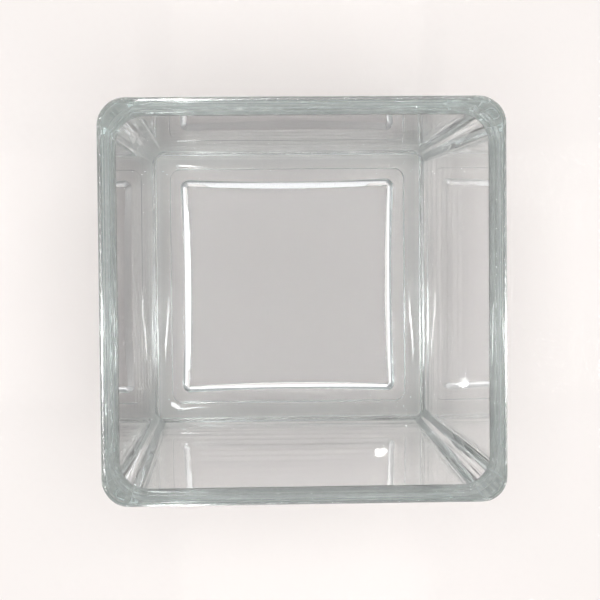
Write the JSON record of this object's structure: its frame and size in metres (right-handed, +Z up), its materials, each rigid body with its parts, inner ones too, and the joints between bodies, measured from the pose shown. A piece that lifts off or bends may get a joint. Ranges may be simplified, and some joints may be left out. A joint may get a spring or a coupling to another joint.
{
  "type": "specimen jar",
  "caption": "Square clear glass specimen jar with rounded corners, thick rim and heavy recessed floor, closed by a loose bevelled glass plate on a thin gasket.",
  "frame": {"origin": "middle of the jar's foot, on the surface that it stands on", "axes": "+Z up along the jar's axis, out of its mouth; +X and +Y square to its four walls, which are alike"},
  "size_m": [0.0998, 0.0998, 0.1288],
  "materials": {
    "jar_glass": "fire-polished clear pressed glass, slightly grey-green",
    "plate_glass": "polished clear plate glass with ground bevels",
    "clear_gasket": "clear satin silicone rubber"
  },
  "bodies": {
    "jar": {"jar_body": "jar_glass", "seal_ring": "clear_gasket"},
    "cover": {"cover_plate": "plate_glass"}
  },
  "joints": [
    {"name": "cover_lift", "type": "slide", "parent": "jar", "child": "cover", "axis": [0, 0, 1], "range_m": [0, 0.06]}
  ]
}
